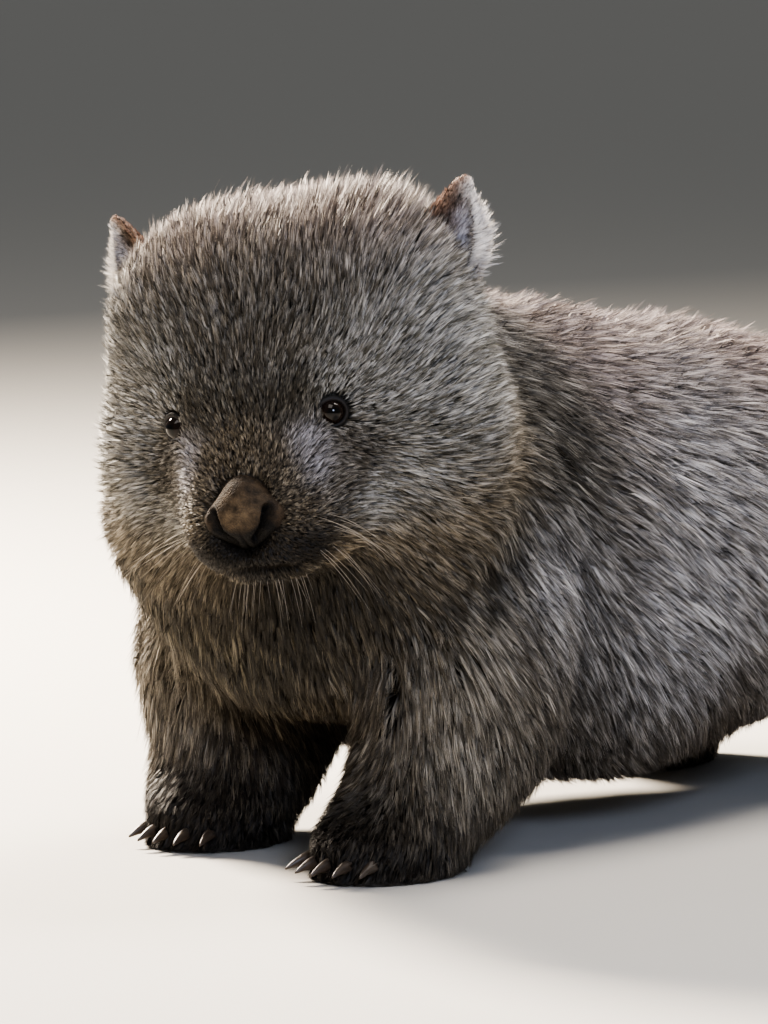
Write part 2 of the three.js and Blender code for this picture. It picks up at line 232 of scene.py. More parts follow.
# Each fur: undercoat, tip and the colour of the pale-tipped hairs, with the share that are pale.
FURS = {
    "forehead": ("#13110e", "#3f3930", "#9d968b", 0.30),
    "crown": ("#171210", "#57473c", "#ccb9ab", 0.42),
    "brow": ("#100f0c", "#38332a", "#857f72", 0.24),
    "muzzle": ("#090706", "#1a1611", "#5a5042", 0.08),
    "bridge": ("#14110d", "#51483a", "#a0937d", 0.28),
    "blaze": ("#1e1c1b", "#67625f", "#c4c1c5", 0.52),
    "cheek": ("#1a1916", "#615e54", "#cfceca", 0.47),
    "jowl": ("#17130f", "#4f4535", "#b3a388", 0.38),
    "chin": ("#0e0c09", "#332c21", "#aba18e", 0.28),
    # The throat's fur is dark brown, made darker still with painted shade for the shadow under the chin and
    # head.
    "throat": ("#060504", "#110e09", "#463d2c", 0.08),
    # The chest's fur is dark brown, made darker still with painted shade for the shadow under the head.
    "chest": ("#080705", "#1a170f", "#80775f", 0.15),
    # The shoulder's fur is made darker with painted shade for the shadow between the cheek and the shoulder.
    "shoulder": ("#0b0a09", "#24211c", "#98948a", 0.22),
    "flank": ("#1b1a1a", "#5a5755", "#d4d2d2", 0.46),
    "back": ("#1a1614", "#5b4f49", "#c7b6ae", 0.44),
    "rump": ("#171412", "#4c4540", "#c0b7af", 0.41),
    "belly": ("#13100d", "#332b23", "#736858", 0.22),
    "leg": ("#1e1a16", "#6b6356", "#ccc3b3", 0.51),
    "shank": ("#100d0b", "#2f281f", "#877b68", 0.27),
    "foot": ("#0d0b0a", "#201b17", "#3d352e", 0.15),
    "ear_back": ("#3a291f", "#8c6a55", "#c9a88f", 0.50),
    "ear_rim": ("#57504b", "#c4bcb4", "#f4efe9", 0.80),
    "ear_hollow": ("#100c0a", "#2f2620", "#6d6057", 0.20),
    "ear_inner": ("#3a3432", "#a39a9b", "#dedbe0", 0.70),
}

# Landmarks of the coat. Each has a place in mm, the way the hair lies, and in mm its length,
# the height of its tips over the skin, and its fur. Those of the head are in the head's own frame,
# and each one off the middle plane stands for both sides.
HEAD_COAT = [
    ((0, -60, -14), (0, 0.3, 1), 4, 1.8, "bridge"),
    ((0, -46, 0), (0, 0.35, 1), 6, 2.8, "bridge"),
    ((20, -44, -10), (0.25, 0.5, 0.9), 5, 2.4, "bridge"),
    ((26, -48, -22), (0.5, 0.7, 0.5), 4, 2.0, "bridge"),
    ((31, -54, -42), (0.75, 0.6, 0.0), 4, 1.9, "bridge"),
    ((25, -34, 8), (0.35, 0.6, 0.8), 7, 3.2, "brow"),
    ((33, -36, -8), (0.6, 0.7, 0.5), 8, 3.6, "blaze"),
    ((38, -39, -21), (0.7, 0.8, 0.15), 8, 3.8, "blaze"),
    ((50, -30, -34), (0.7, 0.9, -0.05), 9, 4.2, "forehead"),
    ((30, -54, -64), (0.9, 0.5, -0.35), 5, 2.2, "muzzle"),
    ((12, -62, -62), (0.5, -0.1, -0.8), 3, 1.4, "muzzle"),
    ((0, -60, -78), (0, 0, -1), 5, 2.2, "muzzle"),
    # Under the chin the throat's fur carries painted shade.
    ((0, -48, -88), (0, 0.05, -1), 9, 4.2, "throat"),
    ((22, -44, -84), (0.5, 0.2, -0.8), 10, 4.5, "chin"),
    ((0, -24, -100), (0, 0.3, -1), 15, 8, "throat"),
    ((26, -14, -98), (0.3, 0.4, -1), 16, 9, "throat"),
    ((42, -22, -78), (0.65, 0.5, -0.7), 13, 7, "jowl"),
    ((62, -4, -84), (0.6, 0.6, -0.6), 18, 11, "jowl"),
    ((58, -12, -54), (0.8, 0.7, -0.15), 13, 7, "cheek"),
    ((86, 8, -40), (0.6, 0.85, -0.15), 18, 11, "cheek"),
    ((94, 24, -78), (0.5, 0.85, -0.4), 23, 15, "jowl"),
    ((114, 46, -20), (0.35, 0.95, -0.05), 24, 15, "cheek"),
    ((112, 76, -56), (0.2, 1, -0.25), 26, 16, "jowl"),
    ((54, -14, -18), (0.5, 0.6, -0.5), 6, 2.8, "forehead"),
    ((50, -14, 18), (0.25, 0.5, 0.85), 7, 3.2, "cheek"),
    ((34, -24, 16), (0.3, 0.4, 0.85), 7, 3.2, "brow"),
    ((76, 2, 4), (0.5, 0.85, 0.1), 12, 6.5, "cheek"),
    ((62, 0, 38), (0.3, 0.6, 0.75), 13, 7.5, "cheek"),
    ((0, -36, 20), (0, 0.35, 0.95), 9, 4.5, "brow"),
    ((0, -20, 44), (0, 0.5, 0.87), 13, 8, "forehead"),
    ((30, -8, 54), (0.15, 0.5, 0.87), 14, 9, "forehead"),
    ((44, 12, 78), (0.2, 0.6, 0.75), 18, 13, "forehead"),
    ((0, 16, 84), (0, 0.65, 0.75), 20, 14, "forehead"),
    ((34, 44, 104), (0.1, 0.75, 0.6), 25, 18, "crown"),
    ((0, 70, 106), (0, 0.95, 0.35), 27, 20, "crown"),
    ((66, 60, 98), (0.15, 0.85, 0.5), 28, 20, "crown"),
    ((98, 38, 44), (0.3, 0.9, 0.3), 19, 12, "cheek"),
    ((110, 80, 20), (0.1, 1, -0.1), 25, 15, "cheek"),
    ((0, 20, -116), (0, 0.5, -0.85), 22, 14, "throat"),
    ((30, 10, -108), (0.3, 0.6, -0.8), 20, 13, "throat"),
    ((0, 130, 100), (0, 1, -0.1), 28, 17, "back"),
]
BODY_COAT = [
    ((0, -150, 362), (0, 1, -0.05), 28, 18, "back"),
    ((0, -20, 346), (0, 1, -0.08), 29, 18, "back"),
    ((0, 140, 322), (0, 1, -0.12), 29, 18, "back"),
    ((0, 290, 296), (0, 1, -0.25), 29, 18, "back"),
    ((0, 390, 220), (0, 0.45, -1), 26, 16, "rump"),
    ((60, 370, 240), (0.2, 0.7, -0.8), 28, 17, "rump"),
    ((70, 390, 120), (0.1, 0.2, -1), 24, 15, "rump"),
    ((110, 300, 230), (0.2, 0.75, -0.6), 29, 18, "rump"),
    ((86, -60, 318), (0.35, 0.9, -0.4), 30, 19, "back"),
    ((86, 120, 298), (0.35, 0.9, -0.42), 30, 19, "back"),
    ((128, -20, 240), (0.1, 0.8, -0.6), 33, 20, "flank"),
    ((134, 90, 200), (0.05, 0.75, -0.65), 33, 20, "flank"),
    ((130, -40, 150), (0, 0.6, -0.8), 33, 20, "flank"),
    ((120, 90, 110), (0, 0.5, -0.85), 31, 19, "flank"),
    ((90, 40, 60), (-0.1, 0.55, -0.85), 29, 15, "belly"),
    ((0, 20, 42), (0, 1, -0.15), 22, 9, "belly"),
    ((0, 160, 50), (0, 1, -0.1), 22, 9, "belly"),
    ((0, -180, 70), (0, 1, -0.3), 22, 11, "belly"),
    # The shoulder behind the cheek carries painted shade.
    ((128, -150, 250), (0.15, 0.7, -0.7), 31, 19, "shoulder"),
    ((130, -190, 310), (0.25, 0.85, -0.5), 29, 19, "shoulder"),
    ((126, -170, 180), (0.05, 0.35, -0.95), 31, 18, "flank"),
    ((104, -235, 210), (0.2, 0.2, -1), 29, 18, "shoulder"),
    # The chest's fur carries painted shade under the head.
    ((40, -290, 170), (0.1, -0.15, -1), 28, 18, "chest"),
    ((0, -300, 130), (0, -0.1, -1), 28, 17, "chest"),
    ((0, -250, 80), (0, 0.1, -1), 26, 15, "chest"),
]
# Those of a leg are measured from the middle of its sole: outwards, backwards and up.
LEG_COAT = [
    ((56, 0, 130), (0.05, 0.2, -1), 34, 16, "leg"),
    ((10, -62, 130), (0.05, -0.05, -1), 32, 15, "leg"),
    ((54, 10, 70), (0.1, 0.15, -1), 30, 13, "leg"),
    ((0, -54, 70), (0, -0.1, -1), 26, 11, "leg"),
    ((-46, 10, 90), (0, 0.1, -1), 26, 11, "belly"),
    ((0, 60, 100), (0, 0.35, -1), 28, 13, "belly"),
    ((44, 0, 38), (0.1, -0.1, -1), 20, 8, "shank"),
    ((-36, 0, 38), (-0.1, -0.1, -1), 14, 6, "shank"),
    ((0, -50, 32), (0, -0.75, -0.6), 11, 4.5, "foot"),
    ((0, 50, 34), (0, 0.3, -1), 14, 6, "shank"),
    ((36, -20, 12), (0.5, -0.7, -0.5), 9, 3.5, "foot"),
    ((-34, -20, 12), (-0.5, -0.7, -0.5), 9, 3.5, "foot"),
    ((0, -60, 14), (0, -0.95, -0.3), 7, 2.5, "foot"),
    ((0, 40, 10), (0, 0.5, -0.8), 9, 3.5, "foot"),
]
# Those of an ear are in its own frame, from its middle: outwards, backwards and up its length.
EAR_COAT = [
    ((0, 9, 0), (0, 0.1, 1), 5, 1.6, "ear_back"),
    ((-6, 8, 18), (0, 0.1, 1), 4, 1.4, "ear_back"),
    ((-18, 0, 8), (-0.1, 0, 1), 5, 1.8, "ear_back"),
    ((-10, -1, 26), (-0.05, 0, 1), 4, 1.4, "ear_back"),
    ((0, 2, 34), (0.1, 0, 1), 4, 1.4, "ear_back"),
    ((8, -2, 26), (0.5, 0, 0.85), 6, 2.5, "ear_rim"),
    ((14, -1, 14), (0.8, 0.1, 0.6), 9, 4.5, "ear_rim"),
    ((17, 0, 2), (0.9, 0.2, 0.4), 12, 6.5, "ear_rim"),
    ((20, 2, -12), (0.95, 0.4, 0.2), 15, 9, "ear_rim"),
    ((7, 3, 8), (0.25, -0.2, 1), 8, 2.5, "ear_inner"),
    ((5, 3, -6), (0.3, -0.3, 1), 10, 3, "ear_inner"),
    ((-14, 2, 2), (0.0, -0.1, 1), 6, 2.2, "ear_back"),
    ((-10, 2, 16), (0.0, -0.1, 1), 5, 1.8, "ear_back"),
    ((-7, 3, 4), (0.2, -0.1, 1), 4, 1.2, "ear_hollow"),
    ((-6, 5, -8), (0.3, -0.3, 1), 7, 2.5, "ear_hollow"),
    ((-1, 4, 18), (0.1, -0.1, 1), 4, 1.2, "ear_hollow"),
]
SOLES = {
    "fore_left": (68.3, -263.5, 1),
    "fore_right": (-93.5, -231.7, -1),
    "hind_left": (80.7, 262.0, 1),
    "hind_right": (-106.3, 211.8, -1),
}


# How far the trunk's landmarks lie beside the box's middle plane.
TRUNK_SHIFT = np.array((-0.010, 0, 0))


def both_sides(coat):
    """Each landmark, and its mirror image where it lies off the middle plane."""
    for place, lie, *rest in coat:
        for side in (1, -1) if place[0] else (1,):
            flip = np.array((side, 1, 1))
            yield place * flip, lie * flip, *rest


def landmark_rows():
    """All landmarks as rows: place in metres, lie, length, tip height and fur."""
    rows = [(on_head(place), head_way(lie), *rest) for place, lie, *rest in both_sides(HEAD_COAT)]
    rows += [(place * MM + TRUNK_SHIFT, lie, *rest) for place, lie, *rest in both_sides(BODY_COAT)]
    for x, y, side in SOLES.values():
        flip = np.array((side, 1, 1))
        rows += [((place * flip + (x, y, 0)) * MM, lie * flip, *rest) for place, lie, *rest in LEG_COAT]
    return rows


def ear_turn(side):
    """How an ear stands on the head: opened outwards, tipped back and leaning out."""
    own = Matrix.Rotation(math.radians(side * 30), 3, "Z")
    own = own @ Matrix.Rotation(math.radians(-6), 3, "X")
    own = own @ Matrix.Rotation(math.radians(side * 22), 3, "Y")
    return HEAD_TURN @ np.array(own)


def ear_middle(side):
    """The middle of an ear's leaf."""
    return on_head((side * 97, 102, 72))


def ear_rows(side):
    """The landmarks of one ear, in the same form."""
    flip = np.array((side, 1, 1))
    turned = ear_turn(side)
    middle = ear_middle(side)
    return [
        (middle + turned @ (place * flip * MM), turned @ (lie * flip), *rest)
        for place, lie, *rest in EAR_COAT
    ]


def read_landmarks(points, rows, soft):
    """The landmarks' values at points, each weighed by nearness: lie, length, height, share, tones."""
    places = np.array([row[0] for row in rows])
    lies = np.array([row[1] / np.linalg.norm(row[1]) for row in rows])
    sizes = np.array([(row[2] * MM, row[3] * MM, FURS[row[4]][3]) for row in rows])
    tones = np.array([sum((linear(code)[:3] for code in FURS[row[4]][:3]), ()) for row in rows])
    gaps = np.linalg.norm(points[:, None, :] - places[None, :, :], axis=2)
    weights = 1 / (gaps ** 2 + soft ** 2) ** 2
    weights /= weights.sum(axis=1, keepdims=True)
    return weights @ np.hstack((lies, sizes, tones))


# The skin

FLESH = ["head", "neck", "chest", "belly", "rump", "tail"]
for end in ("fore", "hind"):
    for side in ("left", "right"):
        FLESH += [f"{end}leg_{side}_upper", f"{end}leg_{side}_lower", f"{end}foot_{side}"]
EARS = ["ear_left", "ear_right"]


def joined_copy(names, new_name):
    """One object with a merged copy of a few CAD nodes' meshes."""
    select_only(*[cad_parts[name] for name in names])
    bpy.ops.object.duplicate()
    bpy.ops.object.join()
    piece = bpy.context.object
    piece.name = new_name
    piece.data.name = new_name
    piece.data.materials.clear()
    for key in list(piece.keys()):
        del piece[key]
    bpy.ops.object.mode_set(mode="EDIT")
    bpy.ops.mesh.select_all(action="SELECT")
    bpy.ops.mesh.remove_doubles(threshold=0.00002)
    bpy.ops.object.mode_set(mode="OBJECT")
    return piece


def solid_copy(names, new_name, voxel, rounds):
    """One closed mesh of a few CAD nodes, remeshed to even quads of the voxel's size and smoothed."""
    piece = joined_copy(names, new_name)
    remesh = piece.modifiers.new("even faces", "REMESH")
    remesh.mode = "VOXEL"
    remesh.voxel_size = voxel
    bpy.ops.object.modifier_apply(modifier=remesh.name)
    smooth = piece.modifiers.new("soften", "SMOOTH")
    smooth.factor = 0.5
    smooth.iterations = rounds
    bpy.ops.object.modifier_apply(modifier=smooth.name)
    return piece


def unit(rows):
    """Rows of directions brought to length 1."""
    return rows / np.maximum(np.linalg.norm(rows, axis=-1, keepdims=True), 1e-9)


def read_rows(items, key, width=3, kind=float):
    """One property of all of a mesh's items, a row for each."""
    out = np.empty(len(items) * width, kind)
    items.foreach_get(key, out)
    return out.reshape(-1, width)


def points_of(piece):
    return read_rows(piece.data.vertices, "co")


def normals_of(piece):
    return read_rows(piece.data.vertices, "normal")


def face_centres(piece):
    return read_rows(piece.data.polygons, "center")


def put_points(piece, points):
    """Moves all vertices to new places."""
    piece.data.vertices.foreach_set("co", np.ascontiguousarray(points, float).ravel())
    piece.data.update()


def put_attribute(mesh, name, kind, data):
    """A named value or colour on each vertex."""
    layer = mesh.attributes.new(name, kind, "POINT")
    field = {"FLOAT": "value", "FLOAT_COLOR": "color"}[kind]
    layer.data.foreach_set(field, np.ascontiguousarray(data, np.float32).ravel())


def middle_of(name):
    """The middle of a CAD node's box."""
    low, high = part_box(name)
    return (np.array(low) + np.array(high)) / 2


# The middle plane of the trunk, which lies beside the box's own as the head is turned.
TRUNK_MIDDLE = -0.0106
EYES = {"left": middle_of("eye_left"), "right": middle_of("eye_right")}
EYE_RADIUS = 8.2 * MM
GAZE = {"left": head_way((0.50, -0.86, 0.06)), "right": head_way((-0.50, -0.86, 0.06))}
NOSE = middle_of("nose_pad")
# How far the nose pad's middle lies under the eyes' in the head's own frame, in mm.
NOSE_DROP = 39

ROWS = landmark_rows()


def coat_values(points):
    """The landmarks' values on the body: sharp changes on the face, slow ones away from it."""
    near = read_landmarks(points, ROWS, 0.007)
    far = read_landmarks(points, ROWS, 0.034)
    share = np.clip((np.linalg.norm(points - NOSE, axis=1) - 0.055) / 0.075, 0, 1)[:, None]
    return near + (far - near) * share ** 2 * (3 - 2 * share)


VOXEL = 3.9 * MM
skin = solid_copy(FLESH + ["nose_pad", "eye_left", "eye_right"], "skin", VOXEL, 2)
spots = points_of(skin)
outward = normals_of(skin)
depth = coat_values(spots)[:, 4]
sole = np.clip((spots[:, 2] - 2 * MM) / (9 * MM), 0, 1)
depth *= np.where(outward[:, 2] < -0.3, sole, 1)
spots = spots - outward * depth[:, None]
# Under the nose's bare pad the skin lies deeper.
PAD_DEPTH = 9 * MM
x, y, z = in_head(spots).T
away = np.hypot(x / 19, (z + NOSE_DROP) / 22)
pad = np.clip(1.12 - away, 0, 0.3) / 0.3 * (y < -25)
spots = spots + head_way((0, 1, 0)) * (PAD_DEPTH * pad)[:, None]
spots[:, 2] = np.maximum(spots[:, 2], 0.0)
put_points(skin, spots)
ease = skin.modifiers.new("ease", "SMOOTH")
ease.factor = 0.5
ease.iterations = 2
select_only(skin)
bpy.ops.object.modifier_apply(modifier=ease.name)


def pick_faces(piece, chosen):
    """Selects just the chosen faces and goes into edit mode."""
    select_only(piece)
    bpy.context.scene.tool_settings.mesh_select_mode = (False, False, True)
    piece.data.vertices.foreach_set("select", np.zeros(len(piece.data.vertices), bool))
    piece.data.edges.foreach_set("select", np.zeros(len(piece.data.edges), bool))
    piece.data.polygons.foreach_set("select", chosen)
    bpy.ops.object.mode_set(mode="EDIT")


# The muzzle gets finer faces for the mouth, whose line runs under the nose and back along the jaw.
x, y, z = in_head(face_centres(skin)).T
pick_faces(skin, (np.abs(x) < 40) & (y < -10) & (z < -44) & (z > -96))
bpy.ops.mesh.subdivide(number_cuts=2, smoothness=0)
bpy.ops.object.mode_set(mode="OBJECT")
# How far the mouth's line lies under the eyes, how far it reaches to each side, in mm, and how it bends down.
MOUTH_DROP = 72
MOUTH_HALF = 22
MOUTH_BEND = 0.004
spots = points_of(skin)
x, y, z = in_head(spots).T
aside = np.abs(x)
mouth_level = -MOUTH_DROP - MOUTH_BEND * x ** 2
line = np.exp(-((z - mouth_level) / 2.4) ** 2)
line *= np.clip((MOUTH_HALF + 6 - aside) / 10, 0, 1) * (y < 0)
philtrum = np.exp(-(x / 2.0) ** 2) * np.clip((z + MOUTH_DROP) / 6, 0, 1)
philtrum *= np.clip((-54 - z) / 6, 0, 1) * (y < 0)
lips = np.exp(-((z - mouth_level - 6) / 4.5) ** 2)
lips *= np.clip((30 - aside) / 8, 0, 1) * (y < 0)
chin = np.exp(-((z - mouth_level + 7) / 5) ** 2)
chin *= np.clip((24 - aside) / 8, 0, 1) * (y < 0)
pads = np.exp(-np.linalg.norm((aside - 19, (z + 60) * 1.3), axis=0) ** 2 / 110) * (y < -20)
move = (1.2 * lips + 1.6 * chin + 2.2 * pads - 3.4 * line - 2.6 * philtrum) * MM
put_points(skin, spots + normals_of(skin) * move[:, None])


def steady_sphere(segments, rings):
    """A sphere of radius 1 with its faces sorted, as Blender's own order changes from run to run."""
    bpy.ops.object.select_all(action="DESELECT")
    bpy.ops.mesh.primitive_uv_sphere_add(segments=segments, ring_count=rings, radius=1)
    piece = bpy.context.object
    faces = []
    for face in piece.data.polygons:
        corners = list(face.vertices)
        first = corners.index(min(corners))
        faces.append(corners[first:] + corners[:first])
    spots = points_of(piece).tolist()
    piece.data.clear_geometry()
    piece.data.from_pydata(spots, [], sorted(faces))
    return piece


def shaped_ear(side):
    """A leaf of cartilage and skin: a sphere drawn out, narrowed to its tip and pressed in from the front."""
    piece = steady_sphere(44, 34)
    ball = points_of(piece)
    x, y, z = ball.T
    ease_in = np.clip((z + 0.4) / 1.4, 0, 1)
    narrow = 1 - 0.52 * ease_in ** 2 * (3 - 2 * ease_in)
    deep = 11.5 * narrow * np.abs(y)
    inner = deep - 3.4 * np.sqrt(np.abs(y)) * np.abs(y) ** 0.3
    leaf = np.stack((19.5 * x * narrow, np.where(y >= 0, deep, inner) - 4, 34 * z), axis=1)
    leaf[:, 0] += 3.0 * np.clip(z, 0, 1) ** 2
    flip = np.array((side, 1, 1))
    put_points(piece, ear_middle(side) + (leaf * flip * MM) @ ear_turn(side).T)
    if side < 0:
        bpy.ops.object.mode_set(mode="EDIT")
        bpy.ops.mesh.select_all(action="SELECT")
        bpy.ops.mesh.flip_normals()
        bpy.ops.object.mode_set(mode="OBJECT")
    piece.name = "ear_skin"
    return piece


# The lids' ring, in mm: the opening's radius, the ring's own, and how far before the eye's middle it lies.
LID_OPENING = 8.4
LID_THICK = 1.4
LID_HEIGHT = 3.1


def eye_frame(side):
    """An eye's own directions: along the gaze, level and upwards."""
    gaze = unit(GAZE[side])
    level = unit(np.cross(head_way((0, 0, 1)), gaze))
    return gaze, level, np.cross(gaze, level)


def lid_ring(side):
    """The lids: a ring with a slight corner towards the nose, hugging the eyeball."""
    gaze, level, rise = eye_frame(side)
    bpy.ops.object.select_all(action="DESELECT")
    bpy.ops.mesh.primitive_torus_add(major_radius=1, minor_radius=0.25, major_segments=64, minor_segments=16)
    piece = bpy.context.object
    ring = points_of(piece)
    around = np.arctan2(ring[:, 1], ring[:, 0])
    out = (np.hypot(ring[:, 0], ring[:, 1]) - 1) / 0.25
    forth = ring[:, 2] / 0.25
    corner = np.maximum(np.cos(around - (math.pi if side == "left" else 0)), 0) ** 6
    opening = LID_OPENING + 0.35 * np.cos(2 * around) + 2.2 * corner
    thick = LID_THICK + 0.3 * np.maximum(np.sin(around), 0) - 0.2 * corner
    reach = opening + out * thick
    high = LID_HEIGHT + forth * thick * 0.95 - 0.8 * corner - 0.02 * (opening - LID_OPENING) ** 2
    spoke = np.cos(around)[:, None] * level + np.sin(around)[:, None] * rise
    shape = reach[:, None] * spoke + high[:, None] * gaze
    put_points(piece, EYES[side] + shape * MM)
    put_attribute(piece.data, "lid_edge", "FLOAT", np.abs(out + 0.1))
    piece.name = "lid_skin"
    return piece


# Regions of the skin

def nearest(tree, points):
    """The number of the tree's nearest point for each point."""
    return np.array([tree.find(p)[1] for p in points.tolist()], np.int32)


def tree_of(points):
    """A search tree over places."""
    made = kdtree.KDTree(len(points))
    for number, point in enumerate(points.tolist()):
        made.insert(point, number)
    made.balance()
    return made


FLESH_PLACES = [points_of(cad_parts[name]) for name in FLESH]
FLESH_OWNER = np.repeat(np.arange(len(FLESH)), [len(places) for places in FLESH_PLACES])
FLESH_TREE = tree_of(np.vstack(FLESH_PLACES))

# Coat pieces: name, flesh nodes, tufts per square mm, a tuft's width in mm, tufts that make one lock.
COATS = {
    "coat_face": (("head",), 0.98, 0.8, 3),
    "coat_crown": (("head",), 0.68, 1.0, 4),
    "coat_cheeks": (("head",), 0.70, 1.0, 4),
    "coat_neck": (("neck",), 0.42, 1.3, 4),
    "coat_chest": (("chest",), 0.33, 1.4, 4),
    "coat_flank_left": (("belly",), 0.31, 1.55, 4),
    "coat_flank_right": (("belly",), 0.31, 1.55, 4),
    "coat_rump": (("rump", "tail"), 0.25, 1.65, 4),
    "coat_forelegs": (tuple(n for n in FLESH if n.startswith("foreleg")), 0.38, 1.4, 4),
    "coat_hindlegs": (tuple(n for n in FLESH if n.startswith("hindleg")), 0.32, 1.5, 4),
    "coat_feet": (tuple(n for n in FLESH if "foot" in n), 0.45, 1.0, 3),
}


def coat_of(centres):
    """Which coat piece each place of the skin belongs to."""
    owner = FLESH_OWNER[nearest(FLESH_TREE, centres)]
    x, y, z = in_head(centres).T
    front = (y < 26) & (np.abs(x) < 88) & (z < 52)
    left = centres[:, 0] > TRUNK_MIDDLE
    parted = {
        "coat_face": front,
        "coat_crown": ~front & (z > 20),
        "coat_cheeks": ~front & (z <= 20),
        "coat_flank_left": left,
        "coat_flank_right": ~left,
    }
    found = np.full(len(centres), -1)
    for number, (name, (nodes, *_)) in enumerate(COATS.items()):
        inside = np.isin(owner, [FLESH.index(n) for n in nodes])
        found[inside & parted.get(name, True)] = number
    return found


def across(ways, normals):
    """The part of each direction that lies along the skin, as a unit vector."""
    return unit(ways - normals * (ways * normals).sum(axis=-1, keepdims=True))


class Ground:
    """What the hairs of one piece of skin need to know of it: its points, faces, lie and map."""

    def __init__(self, piece, values, region):
        self.points = points_of(piece)
        self.normals = normals_of(piece)
        self.values = values(self.points)
        self.lies = self.values[:, :3].copy()
        self.tree = tree_of(self.points)
        mesh = piece.data
        mesh.uv_layers.active = mesh.uv_layers.new(name="regions")
        for number in range(region.max() + 1):
            pick_faces(piece, region == number)
            bpy.ops.uv.smart_project(angle_limit=1.15, island_margin=0.004, scale_to_bounds=True)
            bpy.ops.object.mode_set(mode="OBJECT")
        mesh.calc_loop_triangles()
        self.loops = read_rows(mesh.loop_triangles, "loops", 3, np.int32)
        self.corners = read_rows(mesh.loop_triangles, "vertices", 3, np.int32)
        self.region = region[read_rows(mesh.loop_triangles, "polygon_index", 1, np.int32)[:, 0]]
        self.places = read_rows(mesh.uv_layers["regions"].data, "uv", 2)
        mesh.uv_layers.remove(mesh.uv_layers["regions"])


# Each region is unwrapped by itself over the whole square, which places its hairs on their map.
body = Ground(skin, coat_values, coat_of(face_centres(skin)))
# Hair parts round the eyes and the nose, and sways a little in slow waves along the body.
for centre, reach, strength in ((EYES["left"], 13, 0.8), (EYES["right"], 13, 0.8), (NOSE, 26, 1.6)):
    gap = body.points - centre
    share = np.exp(-(np.linalg.norm(gap, axis=1) / (reach * MM)) ** 2)
    body.lies += unit(gap) * (strength * share)[:, None]
wave = np.sin(body.points @ np.array((61, 37, 53)) + 2.0)
wave += np.sin(body.points @ np.array((-43, 71, 29)))
body.lies = across(body.lies, body.normals)
body.lies = across(body.lies + 0.10 * wave[:, None] * np.cross(body.normals, body.lies), body.normals)

ear_pieces = [shaped_ear(1), shaped_ear(-1)]
ear_grounds = []
for piece, side in zip(ear_pieces, (1, -1)):
    rows = ear_rows(side)
    one_region = np.zeros(len(piece.data.polygons), int)
    ground = Ground(piece, lambda points: read_landmarks(points, rows, 0.003), one_region)
    ground.lies = across(ground.lies, ground.normals)
    ear_grounds.append(ground)


# The coat

def grizzled_coat():
    """Coarse wombat hair, dry and barely glossy: dark at the root, its tip pale on part of the hairs."""
    material, tree = new_material("coarse grizzled wombat hair")
    under = painted(tree, "under")
    tips = painted(tree, "tips")
    along = painted(tree, "along")
    rise = smooth_ramp(tree, (along, 2), 0.15, 0.85)
    mottle = pattern(tree, "Noise", {"Scale": 55.0, "Detail": 2.0})
    shift = node(tree, "ShaderNodeMapRange", {1: 0.3, 2: 0.7, 3: 0.82, 4: 1.12}, {0: (mottle, 0)})
    hair = mixed(tree, (rise, 0), (under, 0), (tips, 0))
    tinted = scaled(tree, (hair, 2), (shift, 0))
    settings = {"Roughness": 0.55, "Specular IOR Level": 0.22}
    finish_material(tree, settings, {"Base Color": (tinted, 0)})
    return material


COAT_FINISH = grizzled_coat()
dice = np.random.default_rng(7)


def put_mesh(name, points, faces, sizes):
    """An object from arrays: points, the faces' corners in one run, and each face's corner count."""
    mesh = bpy.data.meshes.new(name)
    mesh.vertices.add(len(points))
    mesh.vertices.foreach_set("co", np.ascontiguousarray(points, np.float32).ravel())
    mesh.loops.add(len(faces))
    mesh.loops.foreach_set("vertex_index", faces.astype(np.int32))
    mesh.polygons.add(len(sizes))
    starts = np.concatenate(([0], np.cumsum(sizes)[:-1])).astype(np.int32)
    mesh.polygons.foreach_set("loop_start", starts)
    mesh.update(calc_edges=True)
    mesh.polygons.foreach_set("use_smooth", np.ones(len(sizes), bool))
    piece = bpy.data.objects.new(name, mesh)
    bpy.context.scene.collection.objects.link(piece)
    return piece


def grow(ground, roots, normals, lies, lengths, heights, steps):
    """Walks each hair over the skin: it rises from its root, lies down and follows the lie."""
    line = [roots]
    at = roots.copy()
    way = lies
    up = normals
    before = 0
    for step in range(1, steps + 1):
        share = step / steps
        high = heights * (1 - (1 - share) ** 1.8)
        climb = high - before
        reach = np.sqrt(np.maximum((lengths / steps) ** 2 - climb ** 2, (0.3 * lengths / steps) ** 2))
        at = at + way * reach[:, None] + up * climb[:, None]
        near = nearest(ground.tree, at)
        up = unit(0.5 * up + ground.normals[near])
        gap = ((at - ground.points[near]) * ground.normals[near]).sum(axis=1)
        lifted = np.clip(high - gap, -0.006, 0.006) * 0.8
        at = at + ground.normals[near] * lifted[:, None]
        way = across(0.45 * way + ground.lies[near], up)
        before = high
        line.append(at.copy())
    return np.stack(line, axis=1)


